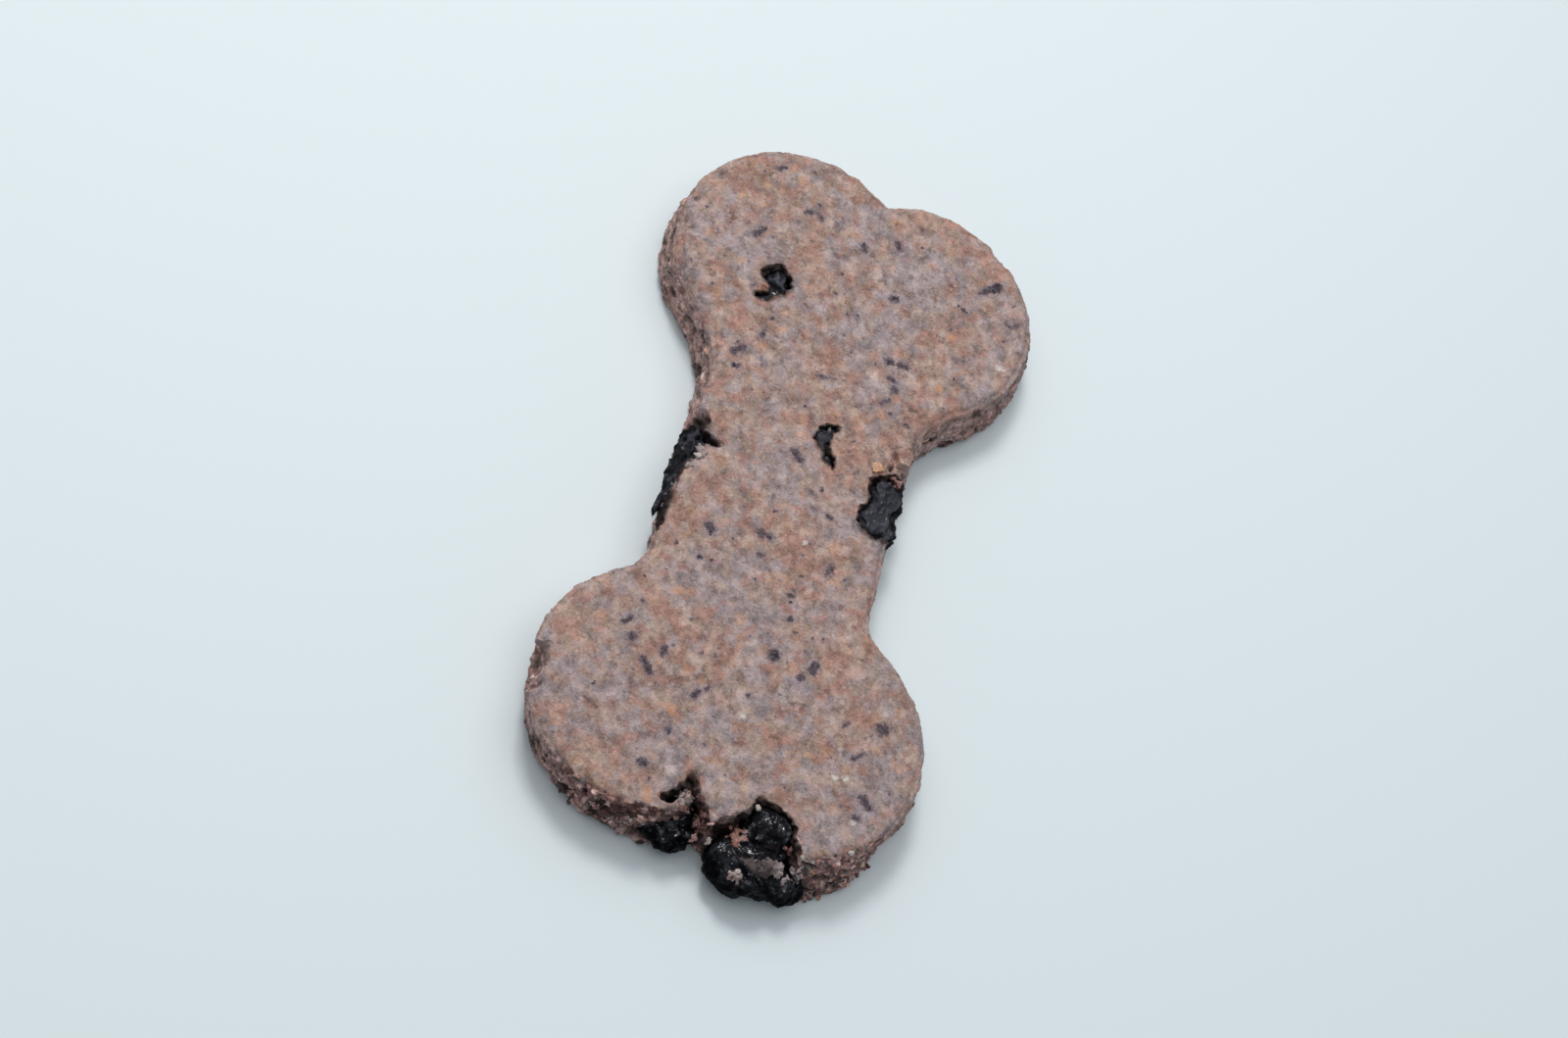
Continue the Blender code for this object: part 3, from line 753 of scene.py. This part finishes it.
def berry_finish():
    """Wrinkled, nearly black dried skin with a dull shine, bloom, flour, painted light and painted
    glints.
    """
    f = Finish("dried_berry_skin")
    patch = f.spots(1.1, detail=3.0, rough=0.6)
    grit = f.spots(0.30, detail=3.0, rough=0.7, shift=3.0)
    bloom = f.painted("bloom")
    open_to_sky = f.painted("open")
    # Painted light: bluer patches only on skin that faces up
    colour = f.blend(patch.step(0.35, 0.65) * open_to_sky, BERRY_BLACK, BERRY_BLUE)
    # Bloom, and painted sheen on ridges and on skin that faces up; each berry's amount also paints
    # how lit it looks
    bloom_and_sheen = f.painted("ridge") * (0.15 + bloom * 0.35) + bloom * 0.50
    bloom_and_sheen = bloom_and_sheen * (0.08 + open_to_sky * 0.97 + bloom * 0.15)
    colour = f.blend(bloom_and_sheen, colour, BERRY_BLOOM_SHEEN)
    # Flour specks, and painted glints: pale specks mostly on ridges that face up
    distance, chance, size, _ = f.grains(0.50, f.wavy(0.25, reach=0.4, shift=6.0))
    flour_and_glint = (distance - size * 0.30).within(0.0, 0.08) * chance.step(0.60, 0.64)
    flour_and_glint = flour_and_glint * (0.04 + open_to_sky * 0.96) * (0.15 + f.painted("ridge") * 0.85)
    colour = f.blend(flour_and_glint, colour, FLOUR_AND_GLINT)
    return f.set(
        Base_Color=colour,
        Roughness=0.06 + patch * 0.35 + bloom * 0.20,
        Specular_IOR_Level=0.03,
        Coat_Weight=patch.step(0.47, 0.57) * (1.0 - bloom * 0.7) * (0.1 + open_to_sky * 0.9),
        Normal=f.bumped(grit, strength=0.9, distance=0.15),
    )


def ray_hit(trees, x, y):
    """Where the camera's ray through a pixel of the photograph first meets a surface, if it does."""
    ray = seen_ray(x, y)
    found = []
    for tree in trees:
        spot, facing, _, distance = tree.ray_cast(CAMERA_PLACE * MM, ray)
        if spot is not None:
            found.append((distance, spot / MM, facing))
    return min(found, key=lambda item: item[0])[1:] if found else None


def tree_of(item):
    """A search tree of a piece's surface, in metres."""
    return BVHTree.FromObject(item, bpy.context.evaluated_depsgraph_get())


def near_berries(points, facing):
    """How close each point is to a berry, from 0 to 1 on its skin, and how much it faces it."""
    close = np.zeros(len(points))
    towards = np.zeros(len(points))
    for node in BERRIES:
        low, high = (np.array(corner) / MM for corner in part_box(node))
        boxed = np.all((points > low - STAIN_SHADE_REACH) & (points < high + STAIN_SHADE_REACH), axis=1)
        tree = tree_of(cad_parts[node])
        for index in np.flatnonzero(boxed):
            nearest, _, _, distance = tree.find_nearest(points[index] * MM)
            share = 1.0 - distance / MM / STAIN_SHADE_REACH
            if share > close[index]:
                close[index] = share
                way = np.array(nearest[:2]) / MM - points[index, :2]
                towards[index] = way @ facing[index, :2] / (np.hypot(*way) + LEAST_WAY)
    return close, towards


def torn_end(points):
    """1 where the wall is torn and crumbly, round the lower end, and 0 where it is even."""
    return ramp(TORN_SLANT * np.maximum(points[:, 0], 0.0) - points[:, 1], *TORN_BAND)


def trimming(points):
    """How far each point is drawn in at the lower right corner, where the foot is worn away."""
    corner = on_top(*TRIM_CORNER)
    outward = np.array((corner - on_top(*TRIM_TOWARDS)).normalized())
    away = np.linalg.norm(points[:, :2] - np.array(corner[:2]), axis=1)
    low = ramp(DOUGH_TOP - points[:, 2], 0.0, TRIM_DROP)
    share = ramp(TRIM_REACH - away, 0.0, TRIM_REACH) * low
    return TRIM_DEPTH * share[:, None] * outward


class DoughSurface:
    """The dough's fine mesh, with shares that say where its top, wall, rim and pits are."""

    def __init__(self, mesh):
        self.mesh = mesh
        self.points = relaxed(mesh, coordinates(mesh), EVEN_ROUNDS)
        place_points(mesh, self.points)
        self.facing = normals(mesh)
        height = self.points[:, 2]
        lean = self.facing[:, 2]
        self.flat = ramp(lean, *TOP_LEAN) * ramp(height, *TOP_BAND)
        under = ramp(-lean, *UNDER_LEAN) * ramp(UNDER_HEIGHT - height, 0.0, UNDER_SOFT)
        self.wall = 1.0 - np.maximum(self.flat, under)
        self.rim = spread(mesh, self.wall, RIM_ROUNDS) * (height > DOUGH_TOP - RIM_BAND)
        self.close, towards = near_berries(self.points, self.facing)
        self.inward = spread(mesh, ramp(towards, 0.0, TOWARDS_BERRY), TOWARDS_ROUNDS)
        self.away = 1.0 - ramp(self.close, *PIT_BAND) * self.inward
        self.end = torn_end(self.points)
        self.begun = ramp(DOUGH_TOP - height, WALL_START, WALL_FULL - TORN_SOONER * self.end)
        self.near, self.share = grains_at(self.points * GRAIN_STRETCH, WALL_GRAIN[0])
        self.swell = ramp(self.near, 0.0, GRAIN_EDGE)
        self.hole = ramp(field(self.points * HOLE_STRETCH, WALL_HOLE[0], shift=17.0), *HOLE_BAND)

    def wall_relief(self):
        """How far the wall stands out: its lumps, layers, crumb and holes, and the pits' edges."""
        torn = EVEN_SHARE + (1.0 - EVEN_SHARE) * self.end
        grit_near, grit_share = grains_at(self.points, WALL_GRIT[0], shift=9.0)
        lump = field(self.points, WALL_LUMP[0], shift=3.0)
        layer = field(self.points * LAYER_STRETCH, WALL_LAYER[0], shift=27.0)
        crumbly = (
            WALL_GRAIN[1] * (self.swell * (GRAIN_LEAST + self.share) - GRAIN_SINK)
            + WALL_GRIT[1] * (ramp(grit_near, 0.0, GRIT_EDGE) * grit_share - GRIT_SINK)
            - WALL_HOLE[1] * self.hole
        )
        begun = START_SHARE + (1.0 - START_SHARE) * self.begun
        rough = (WALL_LUMP[1] * lump + WALL_LAYER[1] * layer + torn * crumbly) * begun
        tongue = sum(reach * field(self.points, size, shift=43.0) for size, reach in PIT_TONGUES)
        rough = self.away * rough + (1.0 - self.away) * (PIT_CLOSING + tongue)
        roll = RIM_ROLL * spread(self.mesh, self.flat, RIM_ROUNDS) * self.away
        return rough - roll * (ROLL_SHARE + ROLL_SHARE * self.swell * self.end)

    def top_relief(self):
        """How far the top stands up: its waves and grain, and the drop to its rim."""
        smooth = TOP_WAVE[1] * field(self.points, TOP_WAVE[0], shift=23.0)
        smooth += TOP_GRAIN[1] * field(self.points, TOP_GRAIN[0], shift=29.0)
        uneven = RIM_EVEN + self.end * (self.swell - RIM_SWELL)
        return smooth - RIM_DROP * self.rim * (1.0 - self.wall) * uneven * self.away

    def stand_out(self):
        """Move the mesh's points by their relief."""
        stand = self.wall * self.wall_relief() + (1.0 - self.wall) * self.top_relief()
        moved = self.points + self.facing * stand[:, None]
        moved[:, 2] = np.clip(moved[:, 2], 0.0, HIGHEST)
        moved -= trimming(moved)
        place_points(self.mesh, moved)

    def paint_wall(self):
        """Paint the hollows' shade, each grain's tone with painted shade and light, and where the
        wall's colour shows.
        """
        crack = 1.0 - ramp(self.near, *CRACK_BAND)
        crevice = ramp(field(self.points, CREVICE_SIZE, shift=57.0), *CREVICE_BAND)
        crack = crack * (CRACK_SHADE[0] + CRACK_SHADE[1] * self.end) + CREVICE_SHADE * crevice
        deep = HOLE_SHADE[0] * self.hole + crack + HOLE_SHADE[1] * self.hole * self.end
        open_wall = PIT_LIGHT + (1.0 - PIT_LIGHT) * self.away
        shade = self.begun * np.minimum(deep, DEEPEST_SHADE) * open_wall
        shade = np.maximum(shade, PIT_SHADE * ramp(self.close, *PIT_SHADE_BAND) * self.begun)
        # Painted shade, with browner dough, darkens the grains towards the lower left; painted light
        # pales them towards the right
        brown_and_shade = ramp(-self.points[:, 0] - self.points[:, 1], *BROWN_SHADE_BAND)
        painted_light = ramp(self.points[:, 0], *PAINTED_LIGHT_BAND)
        paint(self.mesh, "hollow", self.wall * shade)
        paint(self.mesh, "grain", self.share ** (1.0 + BROWN_SHADE * brown_and_shade - PAINTED_LIGHT * painted_light))
        torn_rim = RIM_CRUMB * ramp(self.rim, *RIM_CRUMB_BAND) * self.end * self.away
        covered = np.maximum(self.wall * self.begun, torn_rim)
        paint(self.mesh, "wall", covered * (EVEN_CRUMB + (1.0 - EVEN_CRUMB) * self.end))

    def paint_stain_and_shade(self):
        """Paint stain and painted shade, which fill the berries' pits and spill over their edges."""
        ragged = field(self.points, STAIN_SHADE_EDGE, shift=53.0)
        on_wall, on_rim, outwards = (share * ragged for share in STAIN_SHADE_RAGGED)
        spill = ramp(self.rim + on_rim, *SPILL_RIM) * ramp(self.close + outwards, *SPILL_BAND)
        filled = ramp(self.wall + on_wall, *STAIN_SHADE_WALL) * self.inward
        inside = np.maximum(filled, SPILL_SHARE * spill)
        spots = ramp(field(self.points, STAIN_SHADE_EDGE, shift=71.0), *MOTTLE_BAND)
        mottle = STAIN_SHADE_FULL - STAIN_SHADE_MOTTLE * spots
        # Stain and painted shade in and round the pits
        stain = mottle * ramp(self.close, *STAIN_SHADE_BAND) * np.maximum(inside, STAIN_SHADE_LEAST)
        paint(self.mesh, "stain", stain)

    def paint_marks(self):
        """Paint how far each kind of mark is, and return how far the nearest of all is."""
        nearest = np.full(len(self.points), MARK_REACH)
        for name, ends in MARKS.items():
            distance = mark_distance(self.points, ends)
            paint(self.mesh, name, 0.5 + 0.5 * distance / MARK_REACH)
            nearest = np.minimum(nearest, distance)
        return nearest


def thin_out(item, marked):
    """Fewer triangles on the dough, apart from those near a mark."""
    plain = item.vertex_groups.new(name="plain")
    plain.add(np.flatnonzero(marked > MARK_MARGIN).tolist(), 1.0, "REPLACE")
    fewer = item.modifiers.new("fewer", "DECIMATE")
    fewer.vertex_group = plain.name
    fewer.ratio = min(1.0, DOUGH_TRIANGLES / (2 * len(item.data.polygons)))
    return settled(item)


def make_dough():
    """The dough: a smooth top, a crumbly wall with holes, and a flat underside."""
    item = fine_copy("dough", "dough_crust", FINE_STEP)
    surface = DoughSurface(item.data)
    surface.stand_out()
    surface.paint_wall()
    surface.paint_stain_and_shade()
    mesh = thin_out(item, surface.paint_marks())
    mesh.shade_smooth()
    mesh.materials.append(dough_finish())
    finish_piece(item, ["dough"])
    return item


def folds(points, heading):
    """A dried skin's deep folds and its wrinkles, each from 0 on a ridge to -1 in a hollow."""
    along = np.array((np.cos(heading), np.sin(heading), 0.0))
    size, reach = FOLD_SWAY
    sway = np.array([field(points, size, shift) for shift in (31.0, 37.0, 41.0)]).T
    pushed = points + reach * sway
    drawn = pushed - FOLD_STRETCH * np.outer(pushed @ along, along)
    deep = np.abs(field(drawn, FOLD[0], shift=2.0))
    fine = np.abs(field(drawn, WRINKLE[0], shift=7.0))
    return -ramp(deep, 0.0, FOLD_WIDTH), -np.minimum(fine / WRINKLE_WIDTH, 1.0)


def thickness(item, points, facing):
    """How thick a piece is behind each of its points."""
    tree = tree_of(item)
    found = []
    for place, way in zip(points, facing):
        start = (place - LEAST_WAY * way) * MM
        distance = tree.ray_cast(start, -way)[3]
        found.append(BERRY_THICK[1] if distance is None else distance / MM)
    return np.array(found)


def make_berry(node, skin, heading, scale, growth, bloom):
    """A dried berry: deep folds, then wrinkles, then fine creases."""
    item = fine_copy(node, node + "_skin", BERRY_STEP)
    mesh = item.data
    points = relaxed(mesh, coordinates(mesh), BERRY_ROUNDS)
    place_points(mesh, points)
    facing = normals(mesh)
    deep, fine = folds(points / scale, np.radians(heading))
    pressed = ramp(facing[:, 2], *PRESSED_LEAN) * ramp(points[:, 2], *PRESSED_BAND)
    stout = spread(mesh, ramp(thickness(item, points, facing), *BERRY_THICK), THICK_ROUNDS)
    stand = FOLD[1] * (deep + FOLD_RISE) + WRINKLE[1] * (fine + WRINKLE_RISE)
    stand += CREASE[1] * field(points, CREASE[0], shift=13.0)
    stand *= THIN_SHARE + (1.0 - THIN_SHARE) * stout
    stand += growth * (1.0 - PRESSED_SHARE * pressed)
    moved = points + facing * stand[:, None]
    moved[:, 2] = np.clip(moved[:, 2], BERRY_FOOT, BERRY_TOP)
    place_points(mesh, moved)
    paint(mesh, "ridge", ramp(deep + RIDGE_WRINKLE * fine, *RIDGE_BAND))
    # Bloom, and painted light: how lit this berry looks
    paint(mesh, "bloom", np.full(len(points), bloom))
    # The finish paints the skin that faces up lighter: painted light
    paint(mesh, "open", ramp(facing[:, 2], *OPEN_LEAN))
    mesh.shade_smooth()
    mesh.materials.append(skin)
    finish_piece(item, [node])
    return item


class Crumbs:
    """Many small crumbs that make one piece."""

    def __init__(self, name, seed, fineness):
        self.name = name
        self.rng = np.random.default_rng(seed)
        bm = bmesh.new()
        bmesh.ops.create_icosphere(bm, subdivisions=fineness, radius=1.0)
        bm.verts.index_update()
        self.ball = np.array([vert.co for vert in bm.verts])
        self.ball_faces = np.array([[vert.index for vert in face.verts] for face in bm.faces])
        bm.free()
        self.points = []
        self.faces = []
        self.tones = []
        self.spots = []

    def add(self, spot, half_sizes, tone, facing):
        """One crumb: a ball with sides broken off, stretched, turned and set on its spot."""
        start = self.rng.uniform(0.0, 100.0, 3)
        sides = self.rng.normal(size=(CRUMB_SIDES, 3))
        sides /= np.linalg.norm(sides, axis=1)[:, None]
        slope = np.maximum(self.ball @ sides.T, CRUMB_SLOPE)
        broken = (self.rng.uniform(*CRUMB_BREAK, CRUMB_SIDES) / slope).min(axis=1)
        lump = broken * (1.0 + CRUMB_LUMP[1] * field(self.ball, CRUMB_LUMP[0], start))
        shape = self.ball * lump[:, None] * half_sizes
        spin = Matrix.Rotation(self.rng.uniform(0.0, 2.0 * np.pi), 3, "Z")
        turn = np.array(Vector(facing).to_track_quat("Z", "Y").to_matrix() @ spin)
        self.faces.append(self.ball_faces + len(self.points) * len(self.ball))
        points = shape @ turn.T + np.array(spot)
        points[:, 2] = np.clip(points[:, 2], 0.0, HIGHEST)
        self.points.append(points)
        self.tones.append(tone)
        self.spots.append(np.array(spot))

    def make(self, surface, step=0.0):
        """The piece itself, with crumbs that touch grown together where a step is given."""
        mesh = bpy.data.meshes.new(self.name)
        points = np.concatenate(self.points)
        mesh.from_pydata((points * MM).tolist(), [], np.concatenate(self.faces).tolist())
        item = bpy.data.objects.new(self.name, mesh)
        bpy.context.scene.collection.objects.link(item)
        tones = np.repeat(self.tones, len(self.ball))
        if step:
            remesh = item.modifiers.new("grown", "REMESH")
            remesh.mode = "VOXEL"
            remesh.voxel_size = step * MM
            mesh = settled(item)
            points = coordinates(mesh)
            away = np.linalg.norm(points[:, None] - np.array(self.spots), axis=2)
            tones = np.array(self.tones)[away.argmin(axis=1)]
            rough = STUCK_GRAIN[1] * field(points, STUCK_GRAIN[0], shift=51.0)
            points += normals(mesh) * rough[:, None]
            points[:, 2] = np.clip(points[:, 2], 0.0, HIGHEST)
            place_points(mesh, points)
        paint(mesh, "tone", tones)
        mesh.shade_smooth()
        mesh.materials.append(surface)
        finish_piece(item)


def thinned(points, order, gap):
    """The points of an order that keep a gap from those already taken."""
    taken = {}
    found = []
    for index in order:
        cell = tuple(np.floor(points[index] / gap).astype(int))
        around = [
            taken.get((cell[0] + i, cell[1] + j, cell[2] + k))
            for i in (-1, 0, 1) for j in (-1, 0, 1) for k in (-1, 0, 1)
        ]
        if all(other is None or np.linalg.norm(points[index] - other) > gap for other in around):
            taken[cell] = points[index]
            found.append(index)
    return found


def make_wall_crumbs(dough, surface):
    """Crumbs that stand half out of the torn wall and its rim."""
    heap = Crumbs("wall_crumbs", seed=11, fineness=2)
    points = coordinates(dough.data)
    facing = normals(dough.data)
    height = points[:, 2]
    steep = np.abs(facing[:, 2]) < CRUMB_LEAN
    off_stain_and_shade = painted(dough.data, "stain") < CRUMB_STAIN_SHADE
    fit = np.flatnonzero(steep & off_stain_and_shade & (height > CRUMB_FOOT) & (height < CRUMB_TOP))
    torn = np.maximum(torn_end(points), FEWEST_CRUMBS)
    for index in thinned(points, heap.rng.permutation(fit), CRUMB_GAP):
        if heap.rng.random() > torn[index]:
            continue
        size = heap.rng.uniform(*CRUMB_HALF_SIZE)
        size *= CRUMB_LEAST + (1.0 - CRUMB_LEAST) * torn[index]
        half_sizes = size * heap.rng.uniform(*CRUMB_SPREAD, 3) * (1.0, 1.0, CRUMB_FLATNESS)
        tone = heap.rng.random()
        heap.add(points[index] - CRUMB_SINK * size * facing[index], half_sizes, tone, facing[index])
    heap.make(surface)


def make_stuck_crumbs(carriers, surface):
    """Crumbs of dough on the berries and the wall where the photograph shows them; a few are painted
    glints or painted shade.
    """
    heap = Crumbs("stuck_crumbs", seed=5, fineness=3)
    trees = [tree_of(item) for item in carriers]
    for x, y, reach, count, half_size, tone in STUCK_CRUMBS:
        for _ in range(count):
            away = heap.rng.normal(0.0, 0.5 * reach, 2)
            hit = ray_hit(trees, x + away[0], y + away[1])
            if hit is None:
                continue
            spot, facing = hit
            half_sizes = half_size * heap.rng.uniform(*STUCK_SPREAD, 3)
            shade = tone + heap.rng.uniform(-STUCK_TONES, STUCK_TONES)
            heap.add(spot + STUCK_RISE * half_size * facing, half_sizes, shade, facing)
    heap.make(surface, STUCK_STEP)


def make_floor():
    """A plain pale floor under the biscuit."""
    bpy.ops.mesh.primitive_plane_add(size=FLOOR_SIZE, location=(0.0, 0.0, 0.0))
    floor = bpy.context.object
    floor.name = "floor"
    f = Finish("pale_floor")
    floor.data.materials.append(
        f.set(Base_Color=FLOOR_COLOUR, Roughness=0.6, Specular_IOR_Level=0.2)
    )


def make_camera():
    """The camera, turned as the photographer held it."""
    data = bpy.data.cameras.new("camera")
    data.lens = LENS
    data.sensor_width = SENSOR
    data.clip_start = NEAREST_SEEN
    item = bpy.data.objects.new("camera", data)
    bpy.context.scene.collection.objects.link(item)
    turn = Matrix((CAMERA_RIGHT, CAMERA_UP, CAMERA_BACK)).transposed()
    item.matrix_world = Matrix.Translation(CAMERA_PLACE * MM) @ turn.to_4x4()
    bpy.context.scene.camera = item


def make_lights():
    """Soft lights above and behind, and a faint even glow."""
    for name, place, width, power, colour in LIGHTS:
        data = bpy.data.lights.new(name, "AREA")
        data.shape = "SQUARE"
        data.size = width
        data.energy = power
        data.color = colour
        item = bpy.data.objects.new(name, data)
        bpy.context.scene.collection.objects.link(item)
        spot = Vector(place)
        turn = spot.to_track_quat("Z", "Y").to_matrix().to_4x4()
        item.matrix_world = Matrix.Translation(spot) @ turn
    world = bpy.data.worlds.new("room")
    world.use_nodes = True
    sky = world.node_tree.nodes["Background"]
    sky.inputs["Color"].default_value = ROOM_COLOUR
    sky.inputs["Strength"].default_value = ROOM_GLOW
    bpy.context.scene.world = world
    bpy.context.scene.view_settings.view_transform = "Standard"


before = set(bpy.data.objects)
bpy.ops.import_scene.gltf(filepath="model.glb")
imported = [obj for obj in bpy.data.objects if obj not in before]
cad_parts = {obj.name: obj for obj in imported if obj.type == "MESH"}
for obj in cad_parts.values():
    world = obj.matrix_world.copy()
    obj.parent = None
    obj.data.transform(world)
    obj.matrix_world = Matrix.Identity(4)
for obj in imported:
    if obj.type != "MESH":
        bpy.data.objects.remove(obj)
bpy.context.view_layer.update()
make_camera()
make_lights()
make_floor()
dough = make_dough()
skin = berry_finish()
crumb = crumb_finish()
berries = [make_berry(node, skin, *SKINS[node]) for node in BERRIES]
make_wall_crumbs(dough, crumb)
make_stuck_crumbs([dough, *berries], crumb)
